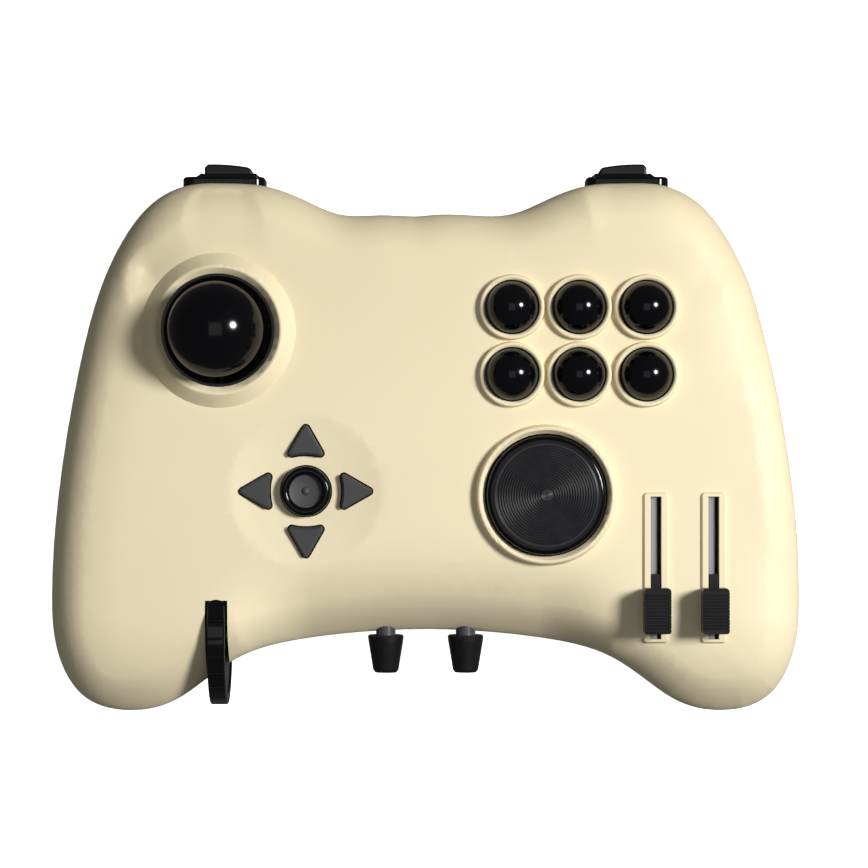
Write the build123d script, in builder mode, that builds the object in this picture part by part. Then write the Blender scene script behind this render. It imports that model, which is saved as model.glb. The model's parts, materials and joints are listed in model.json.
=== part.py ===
"""Radio transmitter controller: a two-handed housing with a thumb stick, push buttons, pads, dial and sliders."""

from build123d import *
import math
import os

os.makedirs("parts", exist_ok=True)

# Housing. The height axis starts at the table the controller lies on.
BASE_Z = 2.0
PARTING_Z = 15.0
FACE_Z = 33.0
WALL = 2.4
TOP_ROUND = 8.0
UNDER_ROUND = 7.0
CEILING_Z = FACE_Z - WALL
FLOOR_Z = BASE_Z + WALL
REAR_Y = 47.6
FRONT_Y = -41.3

# Right half of the plan outline, from the rear middle clockwise to the front middle.
RIGHT_OUTLINE = [
    (9.0, 47.7), (18.0, 47.8), (26.5, 51.2), (34.5, 53.9), (43.0, 54.5), (51.0, 54.0), (58.0, 50.6),
    (64.0, 43.6), (69.2, 33.0), (74.0, 15.6), (78.2, -9.0), (80.0, -33.0), (78.0, -48.6), (73.0, -56.0),
    (64.0, -58.7), (54.6, -56.8), (46.8, -51.6), (38.6, -46.4), (28.0, -43.6), (14.0, -41.9),
]

# Controls on the face. A collar is its foot's radius, its crest's radius, its height and its inner drop.
STICK_XY = (-43.8, 22.7)
STICK_PIVOT_Z = 21.0
STICK_HOLE_R = 12.0
STICK_COLLAR = (16.4, 13.4, 3.0, 1.4)
BUTTON_PITCH = 14.2
BUTTONS_MIDDLE = (32.5, 20.5)
BUTTON_XY = [
    (BUTTONS_MIDDLE[0] + BUTTON_PITCH * column, BUTTONS_MIDDLE[1] + BUTTON_PITCH * row)
    for row in (0.5, -0.5) for column in (-1, 0, 1)
]
BUTTON_R = 5.45
BUTTON_HOLE_R = 5.8
BUTTON_COLLAR = (7.0, 6.4, 1.6, 0.4)
PAD_XY = (-25.3, -11.3)
DISH_R = 16.2
DISH_DEPTH = 1.4
KEY_APEX = 14.7
KEY_CORNER = 6.8
KEY_HALF = 4.5
OK_R = 5.25
DIAL_XY = (25.5, -12.1)
DIAL_R = 12.6
DIAL_HOLE_R = 13.0
DIAL_COLLAR = (15.0, 14.1, 2.2, 1.3)
SLIDER_X = (48.7, 60.9)
SLOT_WIDTH = 2.3
SLOT_Y = (-42.6, -12.4)
SLOT_LENGTH = SLOT_Y[1] - SLOT_Y[0]
SLOT_MIDDLE = sum(SLOT_Y) / 2
SLIDER_CAP_Y = -36.4

# Controls on the edges.
WHEEL_AT = (-44.3, -42.4, 19.7)
WHEEL_R = 15.0
WHEEL_SLOT_WIDTH = 4.75
WHEEL_WIDTH = 3.7
WHEEL_TEETH = 24
TRIM_X = (-8.6, 8.6)
TRIM_Z = 18.5
SHOULDER_X = 43.2
SHOULDER_BUTTON_X = 42.3
SHOULDER_BUTTON_WIDTH = 10.3
SHOULDER_TIP_Y = 58.7

# Inside.
BOARD_Z = 19.0
BOARD_TOP_Z = 20.6
SCREW_XY = [(x * s, y) for x, y in ((69.0, -45.0), (59.5, 38.5), (22.0, 40.0), (24.0, -35.5)) for s in (-1, 1)]
BOARD_SCREW_XY = [(0.0, 30.0), (2.0, -20.0), (62.0, 8.0), (38.0, -34.0)]
FOOT_XY = [(56.0, -40.0), (-56.0, -40.0), (50.0, 34.0), (-50.0, 34.0)]
DOOR_SIZE = (56.0, 34.0)
DOOR_Y = -9.0
FIT = 0.05
GAP = 0.3


def housing_plan(inset=0.0):
    """The plan outline, moved inwards by inset."""
    left = [(-x, y) for x, y in reversed(RIGHT_OUTLINE)]
    ring = [(0.0, REAR_Y)] + RIGHT_OUTLINE + [(0.0, FRONT_Y)] + left
    with BuildSketch(Plane.XY) as plan:
        with BuildLine():
            Spline(*ring, periodic=True)
        make_face()
    if inset == 0.0:
        return plan.sketch
    edge = plan.sketch.edges()[0]
    moved = []
    for x, y in ring:
        along = edge.tangent_at(edge.param_at_point(Vector(x, y)))
        side = Vector(-along.Y, along.X)
        near = Vector(x, y) + side * 0.1
        inward = side if plan.sketch.faces()[0].is_inside(near) else side * -1
        moved.append(Vector(x, y) + inward * inset)
    with BuildSketch(Plane.XY) as inner:
        with BuildLine():
            Spline(*moved, periodic=True)
        make_face()
    return inner.sketch


def finish(piece, label):
    """Labels a finished piece and writes it."""
    piece.part.label = label
    export_step(piece.part, f"parts/{label}.step")


def upright(xy):
    """The plane of a turned profile whose axis stands at xy: radius to the right, height up."""
    return Plane(origin=(*xy, 0), x_dir=(1, 0, 0), z_dir=(0, -1, 0))


def axis_at(xy):
    """The upright axis at xy."""
    return Axis((*xy, 0), (0, 0, 1))


# Outer form and cavity of the housing, shared by both shells.
with BuildPart() as outer:
    with BuildSketch(Plane.XY.offset(BASE_Z)):
        add(housing_plan())
    extrude(amount=FACE_Z - BASE_Z)
    fillet(outer.edges().group_by(Axis.Z)[-1], TOP_ROUND)
    fillet(outer.edges().group_by(Axis.Z)[0], UNDER_ROUND)

with BuildPart() as cavity:
    with BuildSketch(Plane.XY.offset(FLOOR_Z)):
        add(housing_plan(WALL))
    extrude(amount=CEILING_Z - FLOOR_Z)
    fillet(cavity.edges().group_by(Axis.Z)[-1], TOP_ROUND - WALL)
    fillet(cavity.edges().group_by(Axis.Z)[0], UNDER_ROUND - WALL)


# Top shell: the upper half with the collars, the dish, the bosses and every opening of the face.
BOSS_R = 3.3
POST_R = 2.6
SCREW_R = 1.4
BOARD_SCREW_R = 1.1
FRAME_WIDTH = 6.0
FRAME_RISE = 0.7
FRAME_SLOPE = 28
DISH_BOSS_Z = 28.4
WINDOW_Z = (PARTING_Z, 23.0)
WINDOW_WIDTH = SHOULDER_BUTTON_WIDTH + 2 * GAP
PORT_Z = 22.2


def collar(xy, hole, foot, crest, height, drop):
    """A raised ring around an opening: up a slope from the face, over a round crest and down inside."""
    top = FACE_Z + height
    shoulder_z = top - 0.12
    half_crest = 0.35
    with BuildPart() as ring:
        with BuildSketch(upright(xy)):
            with BuildLine():
                Polyline((hole, CEILING_Z), (hole, top - drop), (crest - half_crest, shoulder_z))
                ThreePointArc((crest - half_crest, shoulder_z), (crest, top), (crest + half_crest, shoulder_z))
                Polyline((crest + half_crest, shoulder_z), (foot, FACE_Z), (foot, CEILING_Z), (hole, CEILING_Z))
            make_face()
        revolve(axis=axis_at(xy))
    return ring.part


def wheel_slot():
    """The slot for the thumbwheel: straight sides, a round end on the face and room for the rim inside."""
    with BuildPart() as slot:
        with BuildSketch(Plane.XY.offset(4.6)):
            with Locations((WHEEL_AT[0], -63.6)):
                Rectangle(WHEEL_SLOT_WIDTH, 54.0)
            with Locations((WHEEL_AT[0], -36.6)):
                Circle(WHEEL_SLOT_WIDTH / 2)
        extrude(amount=40)
        with Locations(WHEEL_AT):
            Cylinder(WHEEL_R + 0.5, WHEEL_SLOT_WIDTH, rotation=(0, 90, 0))
        with Locations((WHEEL_AT[0], WHEEL_AT[1], 0)):
            Box(2 * WHEEL_R, 4 * WHEEL_R, 9.2, mode=Mode.SUBTRACT)
    return slot.part


def dish_tool():
    """The shallow concave space above the arrow keys."""
    ball = (DISH_R**2 + DISH_DEPTH**2) / (2 * DISH_DEPTH)
    lean = math.degrees(math.asin(DISH_R / ball))
    with BuildPart() as dish:
        with BuildSketch(upright(PAD_XY)):
            with BuildLine():
                CenterArc((0, FACE_Z - DISH_DEPTH + ball), ball, start_angle=-90, arc_size=lean)
                Polyline((DISH_R, FACE_Z), (DISH_R, FACE_Z + 3), (0, FACE_Z + 3), (0, FACE_Z - DISH_DEPTH))
            make_face()
        revolve(axis=axis_at(PAD_XY))
    return dish.part


def key_sketch(grow=0.0):
    """One arrow key seen from above: a rounded triangle pointing along +X with a concave base."""
    with BuildSketch() as shape:
        with BuildLine():
            Polyline((KEY_CORNER, KEY_HALF), (KEY_APEX, 0), (KEY_CORNER, -KEY_HALF))
            ThreePointArc((KEY_CORNER, -KEY_HALF), (KEY_CORNER + 0.9, 0), (KEY_CORNER, KEY_HALF))
        make_face()
        fillet(shape.vertices(), 0.7)
        if grow:
            offset(amount=grow)
    return shape.sketch


def key_plane(level, turn):
    """A level plane on the pad's middle, turned so that its X axis points along one key."""
    angle = math.radians(turn)
    return Plane(origin=(*PAD_XY, level), x_dir=(math.cos(angle), math.sin(angle), 0), z_dir=(0, 0, 1))


KEY_TURNS = {"right": 0, "up": 90, "left": 180, "down": 270}
KEY_SHAPE = key_sketch()
KEY_FLANGE = key_sketch(0.7)
KEY_OPENING = key_sketch(GAP)
WHEEL_SLOT = wheel_slot()
DISH = dish_tool()
COLLARS = [collar(STICK_XY, STICK_HOLE_R, *STICK_COLLAR), collar(DIAL_XY, DIAL_HOLE_R, *DIAL_COLLAR)]
COLLARS += [collar(xy, BUTTON_HOLE_R, *BUTTON_COLLAR) for xy in BUTTON_XY]

with BuildPart() as top_shell:
    add(outer.part)
    split(bisect_by=Plane.XY.offset(PARTING_Z), keep=Keep.TOP)
    add(cavity.part, mode=Mode.SUBTRACT)
    # Thick floor under the dish, then bosses for the case screws and posts for the board.
    with BuildSketch(Plane.XY.offset(DISH_BOSS_Z)):
        with Locations(PAD_XY):
            Circle(DISH_R + 1.8)
    extrude(amount=CEILING_Z - DISH_BOSS_Z + 0.5)
    with BuildSketch(Plane.XY.offset(PARTING_Z)):
        with Locations(SCREW_XY):
            Circle(BOSS_R)
    extrude(amount=CEILING_Z - PARTING_Z + 0.5)
    with BuildSketch(Plane.XY.offset(BOARD_TOP_Z)):
        with Locations(BOARD_SCREW_XY):
            Circle(POST_R)
    extrude(amount=CEILING_Z - BOARD_TOP_Z + 0.5)
    for ring in COLLARS:
        add(ring)
    for x in SLIDER_X:
        with BuildSketch(Plane.XY.offset(FACE_Z - 0.5)):
            with Locations((x, SLOT_MIDDLE)):
                RectangleRounded(FRAME_WIDTH, SLOT_LENGTH + 2.4, 1.1)
        extrude(amount=0.5 + FRAME_RISE, taper=FRAME_SLOPE)
    # Openings.
    with Locations((*STICK_XY, FACE_Z)):
        Cylinder(STICK_HOLE_R, 20, mode=Mode.SUBTRACT)
    with Locations((*DIAL_XY, FACE_Z)):
        Cylinder(DIAL_HOLE_R, 20, mode=Mode.SUBTRACT)
    with Locations([(x, y, FACE_Z) for x, y in BUTTON_XY]):
        Cylinder(BUTTON_HOLE_R, 20, mode=Mode.SUBTRACT)
    add(DISH, mode=Mode.SUBTRACT)
    for turn in KEY_TURNS.values():
        with BuildSketch(key_plane(26.0, turn)):
            add(KEY_OPENING)
        extrude(amount=12, mode=Mode.SUBTRACT)
    with Locations((*PAD_XY, FACE_Z)):
        Cylinder(OK_R + GAP, 12, mode=Mode.SUBTRACT)
    with Locations([(x, SLOT_MIDDLE, FACE_Z) for x in SLIDER_X]):
        Box(SLOT_WIDTH, SLOT_LENGTH, 10, mode=Mode.SUBTRACT)
    add(WHEEL_SLOT, mode=Mode.SUBTRACT)
    with Locations([(x, FRONT_Y, TRIM_Z) for x in TRIM_X]):
        Cylinder(2.4, 12, rotation=(90, 0, 0), mode=Mode.SUBTRACT)
    with Locations([(side * SHOULDER_BUTTON_X, 52.0, sum(WINDOW_Z) / 2) for side in (-1, 1)]):
        Box(WINDOW_WIDTH, 8, WINDOW_Z[1] - WINDOW_Z[0], mode=Mode.SUBTRACT)
    with Locations((0, REAR_Y, PORT_Z)):
        Box(9.6, 8, 3.8, mode=Mode.SUBTRACT)
    with Locations((0, REAR_Y + 2.7, PORT_Z)):
        Box(10.4, 6.0, 7.0, mode=Mode.SUBTRACT)
    with Locations([(x, y, PARTING_Z + 5) for x, y in SCREW_XY]):
        Cylinder(SCREW_R + FIT, 10, mode=Mode.SUBTRACT)
    with Locations([(x, y, BOARD_TOP_Z + 3) for x, y in BOARD_SCREW_XY]):
        Cylinder(BOARD_SCREW_R + FIT, 6, mode=Mode.SUBTRACT)
finish(top_shell, "top_shell")

# Bottom shell: the lower half with the battery tray, the screw bosses and the foot recesses.
TRAY_TOP = 17.0
PACK_SIZE = (52.0, 30.0, 11.0)
DOOR_THICK = 2.0
with BuildPart() as bottom_shell:
    add(outer.part)
    split(bisect_by=Plane.XY.offset(PARTING_Z), keep=Keep.BOTTOM)
    add(cavity.part, mode=Mode.SUBTRACT)
    with Locations((0, DOOR_Y, (BASE_Z + TRAY_TOP) / 2)):
        Box(DOOR_SIZE[0] + 4.6, DOOR_SIZE[1] + 4.6, TRAY_TOP - BASE_Z)
    with BuildSketch(Plane.XY.offset(BASE_Z)):
        with Locations(SCREW_XY):
            Circle(BOSS_R)
    extrude(amount=PARTING_Z - BASE_Z)
    with Locations((0, DOOR_Y, BASE_Z)):
        Box(DOOR_SIZE[0] + 2 * GAP, DOOR_SIZE[1] + 2 * GAP, 2 * (DOOR_THICK + 0.1), mode=Mode.SUBTRACT)
    with Locations((0, DOOR_Y, BASE_Z + DOOR_THICK + 6.6)):
        Box(PACK_SIZE[0] + 0.6, PACK_SIZE[1] + 0.6, 13.4, mode=Mode.SUBTRACT)
    add(WHEEL_SLOT, mode=Mode.SUBTRACT)
    with Locations([(x, y, BASE_Z) for x, y in SCREW_XY]):
        Cylinder(2.8, 3.2, mode=Mode.SUBTRACT)
    with Locations([(x, y, 10) for x, y in SCREW_XY]):
        Cylinder(SCREW_R + FIT, 20, mode=Mode.SUBTRACT)
    with Locations([(x, y, BASE_Z) for x, y in FOOT_XY]):
        Cylinder(5.0, 1.2, mode=Mode.SUBTRACT)
finish(bottom_shell, "bottom_shell")

# Battery door, battery, feet and case screws.
with BuildPart() as battery_door:
    with BuildSketch(Plane.XY.offset(BASE_Z)):
        with Locations((0, DOOR_Y)):
            RectangleRounded(*DOOR_SIZE, 1.5)
    extrude(amount=DOOR_THICK)
    chamfer(battery_door.edges().group_by(Axis.Z)[0], 0.4)
    with Locations([(x, DOOR_Y + DOOR_SIZE[1] / 2 - 4, BASE_Z) for x in (-6, -2, 2, 6)]):
        Box(1.4, 5, 1.0, mode=Mode.SUBTRACT)
finish(battery_door, "battery_door")

with BuildPart() as battery_pack:
    with Locations((0, DOOR_Y, BASE_Z + DOOR_THICK + 0.3 + PACK_SIZE[2] / 2)):
        Box(*PACK_SIZE)
    fillet(battery_pack.edges().filter_by(Axis.X), 3.0)
finish(battery_pack, "battery_pack")

with BuildPart() as rubber_feet:
    with BuildSketch(Plane.XY):
        with Locations(FOOT_XY):
            Circle(5.0)
    extrude(amount=BASE_Z + 0.6)
    fillet(rubber_feet.edges().group_by(Axis.Z)[0], 0.6)
finish(rubber_feet, "rubber_feet")

with BuildPart() as case_screws:
    with BuildSketch(Plane.XY.offset(BASE_Z + 0.4)):
        with Locations(SCREW_XY):
            Circle(2.6)
    extrude(amount=1.2)
    with BuildSketch(Plane.XY.offset(BASE_Z + 1.6)):
        with Locations(SCREW_XY):
            Circle(SCREW_R)
    extrude(amount=21.0)
    with Locations([(x, y, BASE_Z + 0.4) for x, y in SCREW_XY]):
        Box(3.2, 0.6, 1.2, mode=Mode.SUBTRACT)
        Box(0.6, 3.2, 1.2, mode=Mode.SUBTRACT)
finish(case_screws, "case_screws")

# Main board with its screws, port, aerial, dial encoder and pad switches.
BOARD_OUTLINE = [
    (-29, 36), (-14, 36), (-14, 45), (14, 45), (14, 36), (52, 36), (60, 28), (68, 10), (72, -20), (70, -37),
    (60, -49), (44, -45), (38, -38), (15, -38), (15, -29), (-15, -29), (-15, -38), (-38, -38), (-38, -26),
    (-43, -22), (-43, 7), (-29, 7),
]
PORT_SIZE = (9.0, 7.0, 3.2)
with BuildPart() as main_board:
    with BuildSketch(Plane.XY.offset(BOARD_Z)):
        with BuildLine():
            Polyline(*BOARD_OUTLINE, close=True)
        make_face()
        with Locations(SCREW_XY):
            Circle(BOSS_R + 0.7, mode=Mode.SUBTRACT)
        with Locations(BOARD_SCREW_XY):
            Circle(BOARD_SCREW_R + 0.2, mode=Mode.SUBTRACT)
    extrude(amount=BOARD_TOP_Z - BOARD_Z)
finish(main_board, "main_board")

with BuildPart() as board_screws:
    with BuildSketch(Plane.XY.offset(BOARD_Z - 1.4)):
        with Locations(BOARD_SCREW_XY):
            Circle(2.2)
    extrude(amount=1.4)
    with BuildSketch(Plane.XY.offset(BOARD_Z)):
        with Locations(BOARD_SCREW_XY):
            Circle(BOARD_SCREW_R)
    extrude(amount=6.8)
finish(board_screws, "board_screws")

with BuildPart() as usb_port:
    with BuildSketch(Plane.XZ.offset(-(REAR_Y - 0.6))):
        with Locations((0, BOARD_TOP_Z + PORT_SIZE[2] / 2)):
            SlotOverall(PORT_SIZE[0], PORT_SIZE[2])
    extrude(amount=PORT_SIZE[1])
    with BuildSketch(Plane.XZ.offset(-(REAR_Y - 0.6))):
        with Locations((0, BOARD_TOP_Z + PORT_SIZE[2] / 2)):
            SlotOverall(PORT_SIZE[0] - 0.7, PORT_SIZE[2] - 0.7)
            Rectangle(6.4, 0.7, mode=Mode.SUBTRACT)
    extrude(amount=5.5, mode=Mode.SUBTRACT)
finish(usb_port, "usb_port")

with BuildPart() as antenna:
    with Locations((0, 41.0, 28.4)):
        Box(34, 5, 0.8)
finish(antenna, "antenna")

DIAL_SHAFT_R = 3.0
with BuildPart() as dial_encoder:
    with Locations((*DIAL_XY, BOARD_TOP_Z + 3.0)):
        Box(12, 12, 6)
    with Locations((*DIAL_XY, BOARD_TOP_Z + 6.8)):
        Cylinder(4.5, 1.6)
    with Locations((*DIAL_XY, BOARD_TOP_Z + 6.0)):
        Cylinder(DIAL_SHAFT_R + FIT, 10, mode=Mode.SUBTRACT)
finish(dial_encoder, "dial_encoder")

KEY_REACH = 10.6
with BuildPart() as pad_switches:
    with Locations((*PAD_XY, BOARD_TOP_Z + 1.7)):
        with PolarLocations(KEY_REACH, 4):
            Box(6, 6, 3.4)
        Box(6, 6, 3.4)
    with Locations((*PAD_XY, BOARD_TOP_Z + 3.8)):
        with PolarLocations(KEY_REACH, 4):
            Cylinder(1.7, 0.8)
        Cylinder(1.7, 0.8)
finish(pad_switches, "pad_switches")

# Silicone mat with one dome under each push button.
with BuildPart() as button_pad:
    with BuildSketch(Plane.XY.offset(BOARD_TOP_Z)):
        with Locations(BUTTONS_MIDDLE):
            RectangleRounded(42.0, 27.0, 3.0)
    extrude(amount=0.9)
    with BuildSketch(Plane.XY.offset(BOARD_TOP_Z + 0.9)):
        with Locations(BUTTON_XY):
            Circle(4.4)
    extrude(amount=3.6, taper=14)
finish(button_pad, "button_pad")

# Push buttons: a flange under the face, a straight body and a dome.
BUTTON_FOOT_Z = 26.6
BUTTON_FLANGE_R = 6.5
BUTTON_SHOULDER_Z = FACE_Z + 1.8
BUTTON_RISE = 4.4


def dome_arc(radius, level, rise):
    """A quarter of a dome's profile, from its edge at level up to its crown."""
    ball = (radius**2 + rise**2) / (2 * rise)
    lean = math.degrees(math.atan2(ball - rise, radius))
    with BuildLine(mode=Mode.PRIVATE) as arc:
        CenterArc((0, level + rise - ball), ball, start_angle=lean, arc_size=90 - lean)
    return arc.line


for number, xy in enumerate(BUTTON_XY, start=1):
    with BuildPart() as button:
        with BuildSketch(upright(xy)):
            with BuildLine():
                Polyline(
                    (0, BUTTON_FOOT_Z), (BUTTON_FLANGE_R, BUTTON_FOOT_Z), (BUTTON_FLANGE_R, BUTTON_FOOT_Z + 1.4),
                    (BUTTON_R, BUTTON_FOOT_Z + 1.4), (BUTTON_R, BUTTON_SHOULDER_Z),
                )
                add(dome_arc(BUTTON_R, BUTTON_SHOULDER_Z, BUTTON_RISE))
                Line((0, BUTTON_SHOULDER_Z + BUTTON_RISE), (0, BUTTON_FOOT_Z))
            make_face()
        revolve(axis=axis_at(xy))
    finish(button, f"button_{number}")

# Four arrow keys around a ring-shaped key with a soft insert.
KEY_FOOT_Z = 26.2
KEY_FLANGE_Z = KEY_FOOT_Z + 1.2
KEY_TOP_Z = FACE_Z + 0.7
KEY_BEVEL = 0.45
for name, turn in KEY_TURNS.items():
    with BuildPart() as key:
        with BuildSketch(key_plane(KEY_FOOT_Z, turn)):
            add(KEY_FLANGE)
        extrude(amount=KEY_FLANGE_Z - KEY_FOOT_Z)
        with BuildSketch(key_plane(KEY_FLANGE_Z, turn)):
            add(KEY_SHAPE)
        extrude(amount=KEY_TOP_Z - KEY_FLANGE_Z)
        chamfer(key.edges().group_by(Axis.Z)[-1], KEY_BEVEL)
    finish(key, f"arrow_{name}")

INSERT_R = 3.5
INSERT_Z = 31.6
OK_EDGE_Z = 33.6
DIMPLE_R = 0.9
with BuildPart() as ok_button:
    with BuildSketch(upright(PAD_XY)):
        with BuildLine():
            Polyline((0, KEY_FOOT_Z), (6.2, KEY_FOOT_Z), (6.2, KEY_FLANGE_Z), (OK_R, KEY_FLANGE_Z), (OK_R, OK_EDGE_Z))
            ThreePointArc((OK_R, OK_EDGE_Z), ((OK_R + INSERT_R) / 2, OK_EDGE_Z + 0.9), (INSERT_R, OK_EDGE_Z))
            Polyline((INSERT_R, OK_EDGE_Z), (INSERT_R, INSERT_Z), (0, INSERT_Z), (0, KEY_FOOT_Z))
        make_face()
    revolve(axis=axis_at(PAD_XY))
finish(ok_button, "ok_button")

with BuildPart() as ok_insert:
    with BuildSketch(upright(PAD_XY)):
        with BuildLine():
            Polyline((0, INSERT_Z), (INSERT_R - FIT, INSERT_Z), (INSERT_R - FIT, OK_EDGE_Z - 0.3))
            ThreePointArc((INSERT_R - FIT, OK_EDGE_Z - 0.3), (2 * DIMPLE_R, 32.9), (DIMPLE_R, 32.8))
            add(dome_arc(DIMPLE_R, 32.8, 0.5))
            Line((0, 33.3), (0, INSERT_Z))
        make_face()
    revolve(axis=axis_at(PAD_XY))
finish(ok_insert, "ok_insert")

# Dial: a black skirt, a grooved cap and the encoder's shaft.
DIAL_FOOT_Z = 31.0
CAP_FOOT_Z = 33.5
DIAL_SKIRT_TOP = FACE_Z + 3.2
CAP_R = 11.0
GROOVES = 17
GROOVE_DEPTH = 0.28
with BuildPart() as dial_ring:
    with BuildSketch(upright(DIAL_XY)):
        with BuildLine():
            Polyline((DIAL_SHAFT_R, DIAL_FOOT_Z), (DIAL_R, DIAL_FOOT_Z), (DIAL_R, DIAL_SKIRT_TOP - 1.0))
            ThreePointArc(
                (DIAL_R, DIAL_SKIRT_TOP - 1.0),
                (DIAL_R - 0.3, DIAL_SKIRT_TOP - 0.3),
                (DIAL_R - 1.0, DIAL_SKIRT_TOP),
            )
            Polyline(
                (DIAL_R - 1.0, DIAL_SKIRT_TOP), (CAP_R, DIAL_SKIRT_TOP), (CAP_R, CAP_FOOT_Z),
                (DIAL_SHAFT_R, CAP_FOOT_Z), (DIAL_SHAFT_R, DIAL_FOOT_Z),
            )
        make_face()
    revolve(axis=axis_at(DIAL_XY))
finish(dial_ring, "dial_ring")

groove_pitch = (CAP_R - 1.6) / GROOVES
cap_edge_z = DIAL_SKIRT_TOP + 0.5
cap_rise = 0.7
ridge = [(CAP_R - FIT, CAP_FOOT_Z), (CAP_R - FIT, cap_edge_z)]
for step in range(GROOVES):
    outer_r = CAP_R - 0.4 - step * groove_pitch
    level = cap_edge_z + cap_rise * (1 - outer_r / CAP_R)
    ridge.append((outer_r, level))
    ridge.append((outer_r - groove_pitch / 2, level - GROOVE_DEPTH))
ridge.append((1.2, cap_edge_z + cap_rise))
ridge.append((0, cap_edge_z + cap_rise))
with BuildPart() as dial_cap:
    with BuildSketch(upright(DIAL_XY)):
        with BuildLine():
            Polyline(*ridge, (0, CAP_FOOT_Z), close=True)
        make_face()
    revolve(axis=axis_at(DIAL_XY))
finish(dial_cap, "dial_cap")

with BuildPart() as dial_shaft:
    with BuildSketch(Plane.XY.offset(BOARD_TOP_Z + 1.4)):
        with Locations(DIAL_XY):
            Circle(DIAL_SHAFT_R)
    extrude(amount=CAP_FOOT_Z - BOARD_TOP_Z - 1.4)
finish(dial_shaft, "dial_shaft")

# Joystick: socket lining, gimbal box, cradle on the Y axis, stick on the X axis.
SOCKET_R = 11.4
SOCKET_TOP_Z = FACE_Z + STICK_COLLAR[2] - STICK_COLLAR[3]
SOCKET_FOOT_Z = 25.0
BALL_R = 4.5
PIN_R = 1.5
GIMBAL_HALF = 13.0
GIMBAL_ROOM = 22.0
GIMBAL_TOP = 24.2
with BuildPart() as stick_socket:
    with BuildSketch(upright(STICK_XY)):
        with BuildLine():
            Polyline(
                (SOCKET_R, SOCKET_FOOT_Z), (SOCKET_R + 2.2, SOCKET_FOOT_Z), (SOCKET_R + 2.2, CEILING_Z),
                (STICK_HOLE_R, CEILING_Z), (STICK_HOLE_R, SOCKET_TOP_Z), (SOCKET_R, SOCKET_TOP_Z), close=True,
            )
        make_face()
    revolve(axis=axis_at(STICK_XY))
finish(stick_socket, "stick_socket")

with BuildPart() as gimbal_base:
    with Locations((*STICK_XY, (FLOOR_Z + GIMBAL_TOP) / 2)):
        Box(2 * GIMBAL_HALF, 2 * GIMBAL_HALF, GIMBAL_TOP - FLOOR_Z)
    with Locations((*STICK_XY, 8.0 + 10)):
        Box(GIMBAL_ROOM, GIMBAL_ROOM, 20, mode=Mode.SUBTRACT)
    with Locations((*STICK_XY, STICK_PIVOT_Z)):
        Cylinder(PIN_R + FIT, 40, rotation=(90, 0, 0), mode=Mode.SUBTRACT)
finish(gimbal_base, "gimbal_base")

with BuildPart() as gimbal_cradle:
    with Locations((*STICK_XY, STICK_PIVOT_Z)):
        Cylinder(PIN_R, 2 * GIMBAL_HALF - 0.4, rotation=(90, 0, 0))
        Cylinder(8.4, 5.0)
        Cylinder(5.6, 6.0, mode=Mode.SUBTRACT)
        Cylinder(PIN_R + FIT, 20, rotation=(0, 90, 0), mode=Mode.SUBTRACT)
finish(gimbal_cradle, "gimbal_cradle")

CAP_BASE_Z = 40.2
STEM_R = 2.6
with BuildPart() as stick_stem:
    with Locations((*STICK_XY, STICK_PIVOT_Z)):
        Sphere(BALL_R)
        Cylinder(PIN_R, 16.4, rotation=(0, 90, 0))
    with Locations((*STICK_XY, (STICK_PIVOT_Z + CAP_BASE_Z) / 2)):
        Cylinder(STEM_R, CAP_BASE_Z - STICK_PIVOT_Z)
finish(stick_stem, "stick_stem")

# Dust skirt: a spherical shell about the pivot, from the stem down to inside the socket.
SKIRT_R = (10.0, 10.9)
SKIRT_REACH = 57.0


def skirt_point(radius, lean):
    """A point of the skirt's profile, at a lean in degrees from the stick's axis."""
    return (radius * math.sin(math.radians(lean)), STICK_PIVOT_Z + radius * math.cos(math.radians(lean)))


with BuildPart() as stick_skirt:
    with BuildSketch(upright(STICK_XY)):
        with BuildLine():
            stem_lean = [math.degrees(math.asin(STEM_R / radius)) for radius in SKIRT_R]
            for radius, lean in zip(SKIRT_R, stem_lean):
                CenterArc((0, STICK_PIVOT_Z), radius, 90 - SKIRT_REACH, arc_size=SKIRT_REACH - lean)
            Line(skirt_point(SKIRT_R[0], stem_lean[0]), skirt_point(SKIRT_R[1], stem_lean[1]))
            Line(skirt_point(SKIRT_R[0], SKIRT_REACH), skirt_point(SKIRT_R[1], SKIRT_REACH))
        make_face()
    revolve(axis=axis_at(STICK_XY))
finish(stick_skirt, "stick_skirt")

STICK_CAP_R = 10.0
CAP_NECK_R = 5.4
CAP_EQUATOR_Z = 43.0
CAP_RISE = 7.0
with BuildPart() as stick_cap:
    with BuildSketch(upright(STICK_XY)):
        with BuildLine():
            Line((0, CAP_BASE_Z), (CAP_NECK_R, CAP_BASE_Z))
            ThreePointArc((CAP_NECK_R, CAP_BASE_Z), (8.9, 41.1), (STICK_CAP_R, CAP_EQUATOR_Z))
            add(dome_arc(STICK_CAP_R, CAP_EQUATOR_Z, CAP_RISE))
            Line((0, CAP_EQUATOR_Z + CAP_RISE), (0, CAP_BASE_Z))
        make_face()
    revolve(axis=axis_at(STICK_XY))
finish(stick_cap, "stick_cap")

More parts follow.
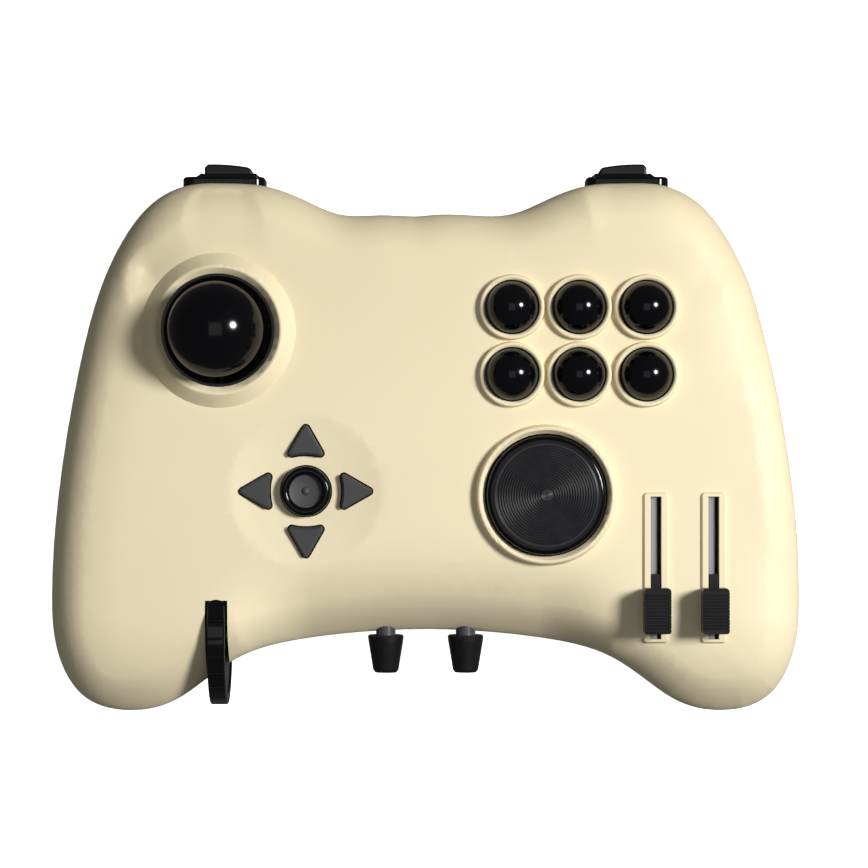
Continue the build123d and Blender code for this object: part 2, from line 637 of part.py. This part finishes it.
# Sliders: a channel with a pale rail in the slot, a carriage with its thin blade, and a ribbed cap.
TRACK_TOP = 28.8
TRACK_ROOM_Z = (21.6, 27.6)
RAIL_TOP = 32.2
RAIL_EDGE = 0.3
BLADE_X = (0.5, 0.95)
GUIDE_Z = (RAIL_TOP + 0.3, FACE_Z + 0.5)
GUIDE_HALF = 0.95
GUIDE_END_Y = -28.8
CARRIAGE_Z = 24.6
BLADE_END_Y = -40.2
CAP_FOOT = 34.4
CAP_SHOULDER = 38.8
RIB_Z = (39.5, 40.2)
CAP_SIZE = (5.6, 9.6)
CAP_CORNER = 0.6
RIBS = 12
for number, x in enumerate(SLIDER_X, start=1):
    with BuildPart() as track:
        with Locations((x, SLOT_MIDDLE, (BOARD_TOP_Z + TRACK_TOP) / 2)):
            Box(8.0, 34.6, TRACK_TOP - BOARD_TOP_Z)
        with Locations((x, SLOT_MIDDLE, sum(TRACK_ROOM_Z) / 2)):
            Box(5.6, 33.0, TRACK_ROOM_Z[1] - TRACK_ROOM_Z[0], mode=Mode.SUBTRACT)
        with BuildSketch(Plane.XY.offset(TRACK_TOP)):
            with Locations((x + (RAIL_EDGE + 0.05 - SLOT_WIDTH / 2) / 2, SLOT_MIDDLE)):
                Rectangle(RAIL_EDGE - 0.05 + SLOT_WIDTH / 2, SLOT_LENGTH - 0.1)
        extrude(amount=RAIL_TOP - TRACK_TOP)
        with Locations((x + (RAIL_EDGE + SLOT_WIDTH / 2) / 2, SLOT_MIDDLE, TRACK_TOP)):
            Box(SLOT_WIDTH / 2 - RAIL_EDGE, SLOT_LENGTH, 4, mode=Mode.SUBTRACT)
    finish(track, f"slider_track_{number}")
    with BuildPart() as carriage:
        with Locations((x, SLIDER_CAP_Y, CARRIAGE_Z)):
            Box(4.8, 10.0, 4.0)
        with Locations((x + sum(BLADE_X) / 2, SLIDER_CAP_Y, (CARRIAGE_Z + CAP_FOOT) / 2)):
            Box(BLADE_X[1] - BLADE_X[0], 7.6, CAP_FOOT - CARRIAGE_Z)
        with Locations((x, (BLADE_END_Y + GUIDE_END_Y) / 2, sum(GUIDE_Z) / 2)):
            Box(2 * GUIDE_HALF, GUIDE_END_Y - BLADE_END_Y, GUIDE_Z[1] - GUIDE_Z[0])
        with Locations((x, SLIDER_CAP_Y, (GUIDE_Z[1] + CAP_FOOT) / 2)):
            Box(2 * GUIDE_HALF, 6.4, CAP_FOOT - GUIDE_Z[1])
    finish(carriage, f"slider_carriage_{number}")
    with BuildPart() as slider_cap:
        with BuildSketch(Plane.YZ.offset(x)):
            with BuildLine():
                foot_y = SLIDER_CAP_Y - CAP_SIZE[1] / 2
                head_y = SLIDER_CAP_Y + CAP_SIZE[1] / 2
                rib_pitch = (CAP_SIZE[1] - 2 * CAP_CORNER) / RIBS
                teeth = []
                for rib in range(RIBS):
                    start = foot_y + CAP_CORNER + rib * rib_pitch
                    teeth.append((start + 0.15 * rib_pitch, RIB_Z[1]))
                    teeth.append((start + 0.50 * rib_pitch, RIB_Z[1]))
                    teeth.append((start + 0.65 * rib_pitch, RIB_Z[0]))
                    teeth.append((start + 1.00 * rib_pitch, RIB_Z[0]))
                Polyline(
                    (foot_y, CAP_FOOT), (foot_y, CAP_SHOULDER), *teeth, (head_y, CAP_SHOULDER),
                    (head_y, CAP_FOOT), close=True,
                )
            make_face()
        extrude(amount=CAP_SIZE[0] / 2, both=True)
        fillet(slider_cap.edges().filter_by(Axis.Z), CAP_CORNER)
    finish(slider_cap, f"slider_cap_{number}")

# Thumbwheel on its axle, between the ears of a bracket.
NOTCH_R = 0.28


def rim_edge(edge):
    """True on the long arcs around the wheel's rim."""
    return abs(edge.radius - WHEEL_R) < FIT


with BuildPart() as thumbwheel:
    with BuildSketch(Plane.YZ.offset(WHEEL_AT[0])):
        with Locations((WHEEL_AT[1], WHEEL_AT[2])):
            Circle(WHEEL_R)
            with PolarLocations(WHEEL_R, WHEEL_TEETH):
                Circle(NOTCH_R, mode=Mode.SUBTRACT)
    extrude(amount=WHEEL_WIDTH / 2, both=True)
    chamfer(thumbwheel.edges().filter_by(GeomType.CIRCLE).filter_by(rim_edge), 0.25)
    with Locations((WHEEL_AT[0], WHEEL_AT[1], WHEEL_AT[2])):
        Cylinder(PIN_R, WHEEL_WIDTH + 4, rotation=(0, 90, 0), mode=Mode.SUBTRACT)
    for side in (-1, 1):
        with Locations((WHEEL_AT[0] + side * WHEEL_WIDTH / 2, WHEEL_AT[1], WHEEL_AT[2])):
            Cylinder(12.6, 0.8, rotation=(0, 90, 0), mode=Mode.SUBTRACT)
finish(thumbwheel, "thumbwheel")

with BuildPart() as wheel_axle:
    with Locations(WHEEL_AT):
        Cylinder(PIN_R, 11.0, rotation=(0, 90, 0))
finish(wheel_axle, "wheel_axle")

with BuildPart() as wheel_bracket:
    for side in (-1, 1):
        with Locations((WHEEL_AT[0] + side * 4.2, WHEEL_AT[1] + 2.5, 17.0)):
            Box(2.0, 8.0, 14.0)
        with Locations((WHEEL_AT[0] + side * 4.2, WHEEL_AT[1] + 4.8, (FLOOR_Z + 10.0) / 2)):
            Box(2.0, 3.4, 10.0 - FLOOR_Z)
    with Locations((WHEEL_AT[0], WHEEL_AT[1] + 21.5, FLOOR_Z + 1.5)):
        Box(10.4, 5.0, 3.0)
    for side in (-1, 1):
        with Locations((WHEEL_AT[0] + side * 4.2, WHEEL_AT[1] + 14.0, FLOOR_Z + 1.5)):
            Box(2.0, 19.0, 3.0)
    with Locations(WHEEL_AT):
        Cylinder(PIN_R + FIT, 30, rotation=(0, 90, 0), mode=Mode.SUBTRACT)
finish(wheel_bracket, "wheel_bracket")

# Trim potentiometers behind the front wall, their shafts and knobs.
TRIM_SHAFT_R = 2.1
for number, x in enumerate(TRIM_X, start=1):
    with BuildPart() as pot:
        with Locations((x, -35.0, TRIM_Z)):
            Box(9.0, 7.0, 9.0)
        with Locations((x, -35.0, TRIM_Z)):
            Cylinder(TRIM_SHAFT_R + FIT, 9.0, rotation=(90, 0, 0), mode=Mode.SUBTRACT)
    finish(pot, f"trim_pot_{number}")
    with BuildPart() as shaft:
        with Locations((x, (-32.0 - 43.4) / 2, TRIM_Z)):
            Cylinder(TRIM_SHAFT_R, 11.4, rotation=(90, 0, 0))
    finish(shaft, f"trim_shaft_{number}")
    with BuildPart() as knob:
        with BuildSketch(Plane.XY.offset(TRIM_Z)):
            with BuildLine():
                Polyline(
                    (x, -43.4), (x + 3.0, -43.4), (x + 3.0, -42.5), (x + 3.6, -42.5), (x + 3.85, -42.8),
                    (x + 3.75, -43.8), (x + 2.75, -50.0), (x + 2.3, -50.6), (x, -50.6), close=True,
                )
            make_face()
        revolve(axis=Axis((x, 0, TRIM_Z), (0, 1, 0)))
    finish(knob, f"trim_knob_{number}")

# Shoulder buttons in their bezels, with a switch and its small board behind each.
BEZEL_SIZE = (17.6, 3.8, 11.6)
BEZEL_Y = 54.0
SHOULDER_Z = sum(WINDOW_Z) / 2
SHOULDER_HEIGHT = WINDOW_Z[1] - WINDOW_Z[0] - 2 * GAP
TRIGGER_FOOT_Y = 49.6
for side, name in ((-1, "left"), (1, "right")):
    with BuildPart() as bezel:
        with Locations((side * SHOULDER_X, BEZEL_Y, SHOULDER_Z)):
            Box(*BEZEL_SIZE)
        fillet(bezel.edges().filter_by(Axis.Y), 2.4)
        fillet(bezel.faces().sort_by(Axis.Y)[-1].edges(), 0.6)
        with BuildSketch(Plane.XZ.offset(-(BEZEL_Y + BEZEL_SIZE[1] / 2 - 0.2))):
            with Locations((side * SHOULDER_BUTTON_X, SHOULDER_Z)):
                Rectangle(WINDOW_WIDTH + 3.2, BEZEL_SIZE[2] - 1.4)
        extrude(amount=-1.0, taper=50)
        add(outer.part, mode=Mode.SUBTRACT)
        with Locations((side * SHOULDER_BUTTON_X, BEZEL_Y, SHOULDER_Z)):
            Box(WINDOW_WIDTH, 8, WINDOW_Z[1] - WINDOW_Z[0], mode=Mode.SUBTRACT)
        with Locations((side * (SHOULDER_X - BEZEL_SIZE[0] / 2 + 1.7), BEZEL_Y + BEZEL_SIZE[1] / 2, SHOULDER_Z)):
            Box(0.4, 0.8, BEZEL_SIZE[2] + 1.0, mode=Mode.SUBTRACT)
    finish(bezel, f"shoulder_bezel_{name}")
    with BuildPart() as trigger:
        with BuildSketch(Plane.XY.offset(SHOULDER_Z)):
            with BuildLine():
                inner_x = side * (SHOULDER_BUTTON_X - SHOULDER_BUTTON_WIDTH / 2)
                outer_x = side * (SHOULDER_BUTTON_X + SHOULDER_BUTTON_WIDTH / 2)
                Polyline((outer_x, SHOULDER_TIP_Y - 0.7), (outer_x, TRIGGER_FOOT_Y), (inner_x, TRIGGER_FOOT_Y))
                Line((inner_x, TRIGGER_FOOT_Y), (inner_x, SHOULDER_TIP_Y - 2.0))
                ThreePointArc(
                    (inner_x, SHOULDER_TIP_Y - 2.0), (inner_x + side * 0.35, SHOULDER_TIP_Y - 1.1),
                    (inner_x + side * 1.2, SHOULDER_TIP_Y - 0.6),
                )
                ThreePointArc(
                    (inner_x + side * 1.2, SHOULDER_TIP_Y - 0.6), (outer_x - side * 5.4, SHOULDER_TIP_Y - 0.12),
                    (outer_x - side * 0.7, SHOULDER_TIP_Y),
                )
                Line((outer_x - side * 0.7, SHOULDER_TIP_Y), (outer_x, SHOULDER_TIP_Y - 0.7))
            make_face()
        extrude(amount=SHOULDER_HEIGHT / 2, both=True)
        fillet(trigger.faces().sort_by(Axis.Z)[-1].edges(), 0.5)
    finish(trigger, f"shoulder_button_{name}")

with BuildPart() as shoulder_switches:
    for side in (-1, 1):
        with Locations((side * SHOULDER_BUTTON_X, 44.6, SHOULDER_Z)):
            Box(6.2, 3.6, 6.2)
        with Locations((side * SHOULDER_BUTTON_X, 46.8, SHOULDER_Z)):
            Cylinder(1.6, 0.8, rotation=(90, 0, 0))
finish(shoulder_switches, "shoulder_switches")

with BuildPart() as shoulder_boards:
    with Locations([(side * SHOULDER_BUTTON_X, 42.2, SHOULDER_Z) for side in (-1, 1)]):
        Box(11.0, 1.2, 8.0)
finish(shoulder_boards, "shoulder_boards")
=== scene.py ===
"""Looks of the radio transmitter controller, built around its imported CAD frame."""

import json
import math

import bmesh
import bpy
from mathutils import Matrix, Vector, kdtree
from mathutils.bvhtree import BVHTree


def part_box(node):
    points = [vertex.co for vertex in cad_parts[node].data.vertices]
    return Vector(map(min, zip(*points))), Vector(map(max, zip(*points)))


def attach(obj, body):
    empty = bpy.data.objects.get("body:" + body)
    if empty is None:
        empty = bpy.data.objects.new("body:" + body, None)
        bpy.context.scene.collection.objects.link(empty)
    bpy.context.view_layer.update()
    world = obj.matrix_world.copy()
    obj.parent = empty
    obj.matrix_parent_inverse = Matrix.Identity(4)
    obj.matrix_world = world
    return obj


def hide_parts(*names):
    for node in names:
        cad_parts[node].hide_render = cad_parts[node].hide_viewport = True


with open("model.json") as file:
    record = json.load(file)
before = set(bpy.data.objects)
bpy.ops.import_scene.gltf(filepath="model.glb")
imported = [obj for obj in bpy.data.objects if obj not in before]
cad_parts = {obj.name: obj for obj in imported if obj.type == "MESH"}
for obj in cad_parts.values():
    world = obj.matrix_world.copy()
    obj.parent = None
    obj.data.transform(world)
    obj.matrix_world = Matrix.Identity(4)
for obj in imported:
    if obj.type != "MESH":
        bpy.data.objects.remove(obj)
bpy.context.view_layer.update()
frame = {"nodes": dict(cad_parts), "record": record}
NODES = frame["nodes"]
MM = 0.001
FACE_Z = 33.0 * MM

# ---------------------------------------------------------------- camera, light and floor

CAMERA_PLACE = (1.8 * MM, 0.8 * MM, 724.0 * MM)
VIEW_WIDTH = 187.7 * MM
WIDEST_LEVEL = 17.0 * MM
SENSOR_MM = 36.0
NEAREST = 10.0 * MM
ROOM_LIGHT = 0.12
FLOOR_HALF = 3.0
FLOOR_GREY = 0.95
FLOOR_ROUGHNESS = 0.9
FLOOR_GLOW = 1.0


def add_camera():
    """Looks straight down on the control face, from a little right of its middle."""
    data = bpy.data.cameras.new("camera")
    data.sensor_width = SENSOR_MM
    data.lens = SENSOR_MM * (CAMERA_PLACE[2] - WIDEST_LEVEL) / VIEW_WIDTH
    data.clip_start = NEAREST
    camera = bpy.data.objects.new("camera", data)
    camera.location = CAMERA_PLACE
    bpy.context.scene.collection.objects.link(camera)
    bpy.context.scene.camera = camera


def add_area_light(name, place, size, watts, shape):
    """A studio lamp at a place, aimed at the middle of the control face."""
    data = bpy.data.lights.new(name, "AREA")
    data.shape = shape
    data.size = size
    data.energy = watts
    lamp = bpy.data.objects.new(name, data)
    lamp.location = place
    aim = Vector((0.0, 0.0, FACE_Z))
    lamp.rotation_euler = (lamp.location - aim).to_track_quat("Z", "Y").to_euler()
    bpy.context.scene.collection.objects.link(lamp)


def add_world():
    """A dim, even room."""
    world = bpy.data.worlds.new("room")
    world.use_nodes = True
    shade = world.node_tree.nodes["Background"]
    shade.inputs["Color"].default_value = (1.0, 1.0, 1.0, 1.0)
    shade.inputs["Strength"].default_value = ROOM_LIGHT
    bpy.context.scene.world = world


def add_floor():
    """A plain white tabletop under the controller, which throws no light back onto it."""
    mesh = bpy.data.meshes.new("floor")
    corners = [(-1, -1), (1, -1), (1, 1), (-1, 1)]
    mesh.from_pydata([(x * FLOOR_HALF, y * FLOOR_HALF, 0) for x, y in corners], [], [(0, 1, 2, 3)])
    floor = bpy.data.objects.new("floor", mesh)
    bpy.context.scene.collection.objects.link(floor)
    material = bpy.data.materials.new("floor")
    material.use_nodes = True
    shader = material.node_tree.nodes["Principled BSDF"]
    shader.inputs["Base Color"].default_value = (FLOOR_GREY, FLOOR_GREY, FLOOR_GREY, 1.0)
    shader.inputs["Roughness"].default_value = FLOOR_ROUGHNESS
    shader.inputs["Emission Color"].default_value = (1.0, 1.0, 1.0, 1.0)
    shader.inputs["Emission Strength"].default_value = FLOOR_GLOW
    mesh.materials.append(material)
    floor.visible_diffuse = False
    floor.visible_glossy = False


add_camera()
add_area_light("key", place=(0.59, 0.153, 0.738), size=0.24, watts=9.6, shape="DISK")
add_area_light("overhead", place=(0.0, 0.0, 1.5), size=0.75, watts=1.3, shape="SQUARE")
add_world()
add_floor()
bpy.context.scene.view_settings.view_transform = "Standard"

# ---------------------------------------------------------------- materials


class Nodes:
    """A small helper that adds nodes to one material and links them."""

    def __init__(self, name):
        self.material = bpy.data.materials.new(name)
        self.material.use_nodes = True
        self.tree = self.material.node_tree
        self.shader = self.tree.nodes["Principled BSDF"]
        coordinates = self.add("ShaderNodeTexCoord")
        self.place = coordinates.outputs["Object"]
        self.normal = coordinates.outputs["Normal"]

    def add(self, kind, **values):
        node = self.tree.nodes.new(kind)
        for key, value in values.items():
            setattr(node, key, value)
        return node

    def link(self, source, target):
        self.tree.links.new(source, target)

    def set(self, **values):
        """Sets uniform values on the shader, with underscores for the spaces in their names."""
        for key, value in values.items():
            self.shader.inputs[key.replace("_", " ")].default_value = value

    def noise(self, scale, detail=2.0, roughness=0.5):
        """A noise pattern in the object's own space; scale is in cycles per metre."""
        node = self.add("ShaderNodeTexNoise")
        self.link(self.place, node.inputs["Vector"])
        node.inputs["Scale"].default_value = scale
        node.inputs["Detail"].default_value = detail
        node.inputs["Roughness"].default_value = roughness
        return node.outputs["Fac"]

    def ramp(self, source, low, high, start=0.3, end=0.7, kind="LINEAR"):
        """Turns a pattern into a value between low and high."""
        node = self.add("ShaderNodeMapRange", interpolation_type=kind)
        self.link(source, node.inputs["Value"])
        node.inputs["From Min"].default_value = start
        node.inputs["From Max"].default_value = end
        node.inputs["To Min"].default_value = low
        node.inputs["To Max"].default_value = high
        return node.outputs["Result"]

    def part(self, source, axis):
        """One coordinate of a vector."""
        node = self.add("ShaderNodeSeparateXYZ")
        self.link(source, node.inputs["Vector"])
        return node.outputs[axis]

    def blend(self, factor, first, second, kind="MIX"):
        """Mixes two colours by a pattern."""
        node = self.add("ShaderNodeMix", data_type="RGBA", blend_type=kind)
        self.link(factor, node.inputs["Factor"])
        for socket, colour in ((node.inputs["A"], first), (node.inputs["B"], second)):
            if isinstance(colour, tuple):
                socket.default_value = (*colour, 1.0)
            else:
                self.link(colour, socket)
        return node.outputs["Result"]

    def paint(self, colour):
        self.link(colour, self.shader.inputs["Base Color"])

    def roughen(self, roughness):
        self.link(roughness, self.shader.inputs["Roughness"])

    def bump(self, height, strength, depth):
        """Adds a bump of a pattern to the surface."""
        node = self.add("ShaderNodeBump")
        node.inputs["Strength"].default_value = strength
        node.inputs["Distance"].default_value = depth
        self.link(height, node.inputs["Height"])
        self.link(node.outputs["Normal"], self.shader.inputs["Normal"])


def scaled(colour, factor):
    return tuple(min(1.0, part * factor) for part in colour)


def moulded(
    name, colour, rough, grain=2600.0, grain_depth=0.04 * MM, tint=0.05, wear=1.25, ior=1.45, painted_rear_shade=None,
):
    """Moulded plastic or rubber: fine grain, slow colour drift, uneven gloss, and rubbed edges.

    The last argument is a colour that the rear end of the piece is multiplied by: painted shade, darker
    towards the back, standing in for less light falling there.
    """
    n = Nodes(name)
    n.set(IOR=ior)
    drift = n.ramp(n.noise(45.0, 3.0), 0.0, 1.0)
    body = n.blend(drift, scaled(colour, 1.0 - tint), scaled(colour, 1.0 + tint))
    geometry = n.add("ShaderNodeNewGeometry")
    edge = n.ramp(geometry.outputs["Pointiness"], 0.0, 0.6, 0.53, 0.62)
    look = n.blend(edge, body, scaled(colour, wear))
    # Painted shade: the rear end is multiplied by the given colour, so the piece darkens towards the back
    # as if less light fell there.
    if painted_rear_shade:
        rear = n.ramp(n.part(n.place, "Y"), 0.0, 1.0, 0.0, 50.0 * MM, "SMOOTHSTEP")
        look = n.blend(rear, look, painted_rear_shade, "MULTIPLY")
    n.paint(look)
    n.roughen(n.ramp(n.noise(160.0, 4.0, 0.6), rough * 0.85, min(1.0, rough * 1.2)))
    n.bump(n.noise(grain), 0.35, grain_depth)
    return n.material


def metal(name, colour, rough, along=(1.0, 1.0, 14.0)):
    """Plated metal with fine drawn lines."""
    n = Nodes(name)
    n.set(Metallic=1.0)
    stretch = n.add("ShaderNodeMapping")
    stretch.inputs["Scale"].default_value = along
    n.link(n.place, stretch.inputs["Vector"])
    lines = n.add("ShaderNodeTexNoise")
    lines.inputs["Scale"].default_value = 700.0
    lines.inputs["Detail"].default_value = 3.0
    n.link(stretch.outputs["Vector"], lines.inputs["Vector"])
    n.paint(n.blend(lines.outputs["Fac"], scaled(colour, 0.85), scaled(colour, 1.1)))
    n.roughen(n.ramp(lines.outputs["Fac"], rough * 0.8, rough * 1.3))
    n.bump(lines.outputs["Fac"], 0.3, 0.03 * MM)
    return n.material


def circuit(name):
    """Solder mask with tracks under it."""
    n = Nodes(name)
    tracks = n.add("ShaderNodeTexBrick")
    tracks.inputs["Scale"].default_value = 160.0
    tracks.inputs["Color1"].default_value = (0.010, 0.075, 0.035, 1.0)
    tracks.inputs["Color2"].default_value = (0.016, 0.110, 0.050, 1.0)
    tracks.inputs["Mortar"].default_value = (0.030, 0.190, 0.090, 1.0)
    tracks.inputs["Mortar Size"].default_value = 0.06
    n.link(n.place, tracks.inputs["Vector"])
    n.paint(tracks.outputs["Color"])
    n.roughen(n.ramp(n.noise(300.0), 0.28, 0.42))
    n.bump(tracks.outputs["Fac"], 0.3, 0.04 * MM)
    return n.material


def wheel_plastic(name):
    """Black plastic with a polished tread and duller, paler side faces."""
    n = Nodes(name)
    n.set(IOR=1.35)
    size = n.add("ShaderNodeMath", operation="ABSOLUTE")
    n.link(n.part(n.normal, "X"), size.inputs[0])
    side = n.ramp(size.outputs["Value"], 0.0, 1.0, 0.75, 0.95)
    speck = n.blend(n.ramp(n.noise(90.0, 3.0), 0.0, 1.0), (0.034, 0.038, 0.038), (0.044, 0.048, 0.048))
    n.paint(n.blend(side, (0.003, 0.003, 0.004), speck))
    n.roughen(n.ramp(side, 0.10, 0.6, 0.0, 1.0))
    n.bump(n.noise(2400.0), 0.3, 0.01 * MM)
    return n.material


def turned_plastic(name):
    """Dark plastic turned on a lathe, which spreads light across its grooves."""
    n = Nodes(name)
    n.set(IOR=1.5, Anisotropic=0.85, Anisotropic_Rotation=0.25)
    n.paint(n.blend(n.ramp(n.noise(400.0, 3.0), 0.0, 1.0), (0.018, 0.018, 0.020), (0.026, 0.026, 0.028)))
    n.roughen(n.ramp(n.noise(160.0, 3.0), 0.30, 0.38))
    tangent = n.add("ShaderNodeTangent", direction_type="RADIAL", axis="Z")
    n.link(tangent.outputs["Tangent"], n.shader.inputs["Tangent"])
    n.bump(n.noise(2600.0), 0.25, 0.006 * MM)
    return n.material


CREAM = (0.865, 0.755, 0.51)
GLOSS_BLACK = (0.002, 0.002, 0.003)
SATIN_BLACK = (0.007, 0.007, 0.008)
MATERIALS = {
    "housing": moulded(
        "cream_housing", CREAM, 0.55, grain=3200.0, grain_depth=0.03 * MM, tint=0.012, wear=1.03,
        # Painted shade: the rear of the housing is multiplied by this colour, about a tenth darker towards
        # the back.
        painted_rear_shade=(0.91, 0.905, 0.89),
    ),
    "black_gloss": moulded(
        "polished_black", GLOSS_BLACK, 0.12, grain=900.0, grain_depth=0.004 * MM, tint=0.2, wear=1.6,
        ior=1.33,
    ),
    "black_satin": moulded(
        "satin_black", SATIN_BLACK, 0.34, grain_depth=0.008 * MM, tint=0.15, wear=1.8, ior=1.33,
    ),
    "key_grey": moulded("key_grey", (0.055, 0.055, 0.058), 0.5, grain=3000.0, tint=0.08, wear=0.4),
    "cap_grey": moulded(
        "turned_grey", (0.045, 0.045, 0.048), 0.3, grain_depth=0.02 * MM, tint=0.08, wear=1.4,
    ),
    "soft_grey": moulded(
        "soft_grey", (0.06, 0.06, 0.063), 0.55, grain=2400.0, grain_depth=0.05 * MM, tint=0.08, wear=1.3,
    ),
    "stem_grey": moulded(
        "pale_grey", (0.23, 0.24, 0.26), 0.4, grain=2400.0, grain_depth=0.03 * MM, wear=1.1,
    ),
    "foot_rubber": moulded(
        "foot_rubber", (0.02, 0.02, 0.021), 0.8, grain=1500.0, grain_depth=0.08 * MM, tint=0.15, wear=1.6,
    ),
    "silicone": moulded("silicone", (0.50, 0.51, 0.52), 0.5, grain=1200.0, wear=1.05),
    "board_green": circuit("solder_mask"),
    "steel": metal("plated_steel", (0.60, 0.60, 0.61), 0.3),
    "battery_wrap": moulded(
        "battery_wrap", (0.02, 0.06, 0.24), 0.25, grain=500.0, grain_depth=0.05 * MM, tint=0.1, wear=1.2,
    ),
    "copper": metal("etched_copper", (0.80, 0.42, 0.24), 0.3, along=(8.0, 1.0, 1.0)),
}
SPECIAL = {"thumbwheel": wheel_plastic("wheel_black"), "dial_cap": turned_plastic("turned_black")}
for entry in frame["record"]["subparts"]:
    materials = NODES[entry["node"]].data.materials
    materials.clear()
    materials.append(SPECIAL.get(entry["node"], MATERIALS[entry["material_slot"]]))

# ---------------------------------------------------------------- housing

PARTING_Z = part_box("top_shell")[0].z
UNDER_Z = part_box("bottom_shell")[0].z
SEAM_HALF = 0.30 * MM
SEAM_DEPTH = 0.28 * MM
SEAM_REACH = 0.5 * MM
CELL = 2.5 * MM
SHARP_ANGLE = math.radians(32)
WELD = 0.001 * MM
SAME_LEVEL = 0.01 * MM
OUTLINE_STEP = 0.4 * MM
WALL_TILT = 0.3

# How far the face falls towards its edge all round, in the notch between the grips and at the grips' ends.
FACE_FALL = 2.6 * MM
FACE_REACH = 15.0 * MM
NOTCH_FALL = 12.0 * MM
NOTCH_REACH = 28.0 * MM
NOTCH_START_Y = -6.0 * MM
NOTCH_BLEND_Y = 30.0 * MM
NOTCH_HALF_X = 24.0 * MM
NOTCH_BLEND_X = 22.0 * MM
GRIP_FALL = 7.0 * MM
GRIP_START_Y = -37.0 * MM
GRIP_LENGTH = 21.0 * MM
UNDER_RISE = 3.0 * MM
UNDER_REACH = 22.0 * MM


def smoothstep(value):
    value = min(1.0, max(0.0, value))
    return value * value * (3.0 - 2.0 * value)


def dense_copy(node, name):
    """A finely divided copy of a CAD node, ready to be shaped."""
    shape = bmesh.new()
    shape.from_mesh(NODES[node].data)
    bmesh.ops.remove_doubles(shape, verts=shape.verts, dist=WELD)
    bmesh.ops.triangulate(shape, faces=shape.faces)
    cuts = [((0.0, 0.0, PARTING_Z + (SEAM_HALF if node == "top_shell" else -SEAM_HALF)), (0, 0, 1))]
    low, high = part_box(node)
    for axis, normal in ((0, (1, 0, 0)), (1, (0, 1, 0))):
        for step in range(1, int((high[axis] - low[axis]) / CELL)):
            place = [0.0, 0.0, 0.0]
            place[axis] = low[axis] + step * CELL
            cuts.append((place, normal))
    for place, normal in cuts:
        everything = shape.verts[:] + shape.edges[:] + shape.faces[:]
        bmesh.ops.bisect_plane(shape, geom=everything, plane_co=place, plane_no=normal)
    bmesh.ops.triangulate(shape, faces=[face for face in shape.faces if len(face.verts) > 3])
    mesh = bpy.data.meshes.new(name)
    shape.to_mesh(mesh)
    shape.free()
    if "custom_normal" in mesh.attributes:
        mesh.attributes.remove(mesh.attributes["custom_normal"])
    piece = bpy.data.objects.new(name, mesh)
    bpy.context.scene.collection.objects.link(piece)
    return piece


def outline_tree():
    """The plan outline as a search tree: points along the outer edge of the bottom shell's rim."""
    shape = bmesh.new()
    shape.from_mesh(NODES["bottom_shell"].data)
    bmesh.ops.remove_doubles(shape, verts=shape.verts, dist=WELD)
    walls = BVHTree.FromBMesh(shape)
    places = []
    for edge in shape.edges:
        if any(abs(vertex.co.z - PARTING_Z) > SAME_LEVEL for vertex in edge.verts):
            continue
        middle = (edge.verts[0].co + edge.verts[1].co) / 2
        for face in edge.link_faces:
            if abs(face.normal.z) > WALL_TILT:
                continue
            outward = Vector((face.normal.x, face.normal.y, 0.0))
            start = middle + outward * SAME_LEVEL - Vector((0.0, 0.0, MM))
            if walls.ray_cast(start, outward)[0] is None:
                count = max(1, int(edge.calc_length() / OUTLINE_STEP))
                places += [edge.verts[0].co.lerp(edge.verts[1].co, step / count) for step in range(count)]
    shape.free()
    tree = kdtree.KDTree(len(places))
    for place in places:
        tree.insert((place.x, place.y, 0.0), 0)
    tree.balance()
    return tree


OUTLINE = outline_tree()


def depth_in_plan(point):
    """How far a point lies inside the outline, seen from above."""
    return OUTLINE.find((point.x, point.y, 0.0))[2]


def nearness(point, reach):
    """1 on the outline, falling to 0 at a distance inside it."""
    return max(0.0, 1.0 - depth_in_plan(point) / reach)


def pillow_top(point):
    """The face falls away to its edge like a pillow, more so between the grips and at their ends."""
    height = min(1.0, (point.z - PARTING_Z) / (FACE_Z - PARTING_Z))
    front = smoothstep((NOTCH_START_Y - point.y) / NOTCH_BLEND_Y)
    between = 1.0 - smoothstep((abs(point.x) - NOTCH_HALF_X) / NOTCH_BLEND_X)
    all_round = FACE_FALL * nearness(point, FACE_REACH) ** 2
    notch = NOTCH_FALL * front * between * nearness(point, NOTCH_REACH) ** 3
    grip = GRIP_FALL * (1.0 - between) * max(0.0, (GRIP_START_Y - point.y) / GRIP_LENGTH) ** 2
    return -(max(notch, all_round) + grip) * height


def pillow_under(point):
    """The underside curves up towards its edge."""
    height = max(0.0, (PARTING_Z - point.z) / (PARTING_Z - UNDER_Z))
    return UNDER_RISE * height * nearness(point, UNDER_REACH) ** 2


def shell(node, name, rule):
    """A moulded shell: the CAD form with its pillow curve and a fine seam where the shells meet."""
    piece = dense_copy(node, name)
    for vertex in piece.data.vertices:
        vertex.co.z += rule(vertex.co)
        if abs(vertex.co.z - PARTING_Z) < SAME_LEVEL and depth_in_plan(vertex.co) < SEAM_REACH:
            vertex.co += Vector((-vertex.co.x, -vertex.co.y, 0.0)).normalized() * SEAM_DEPTH
    piece.data.set_sharp_from_angle(angle=SHARP_ANGLE)
    piece.data.polygons.foreach_set("use_smooth", [True] * len(piece.data.polygons))
    piece.data.materials.append(MATERIALS["housing"])
    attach(piece, "housing")
    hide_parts(node)


shell("top_shell", "housing_top", pillow_top)
shell("bottom_shell", "housing_bottom", pillow_under)
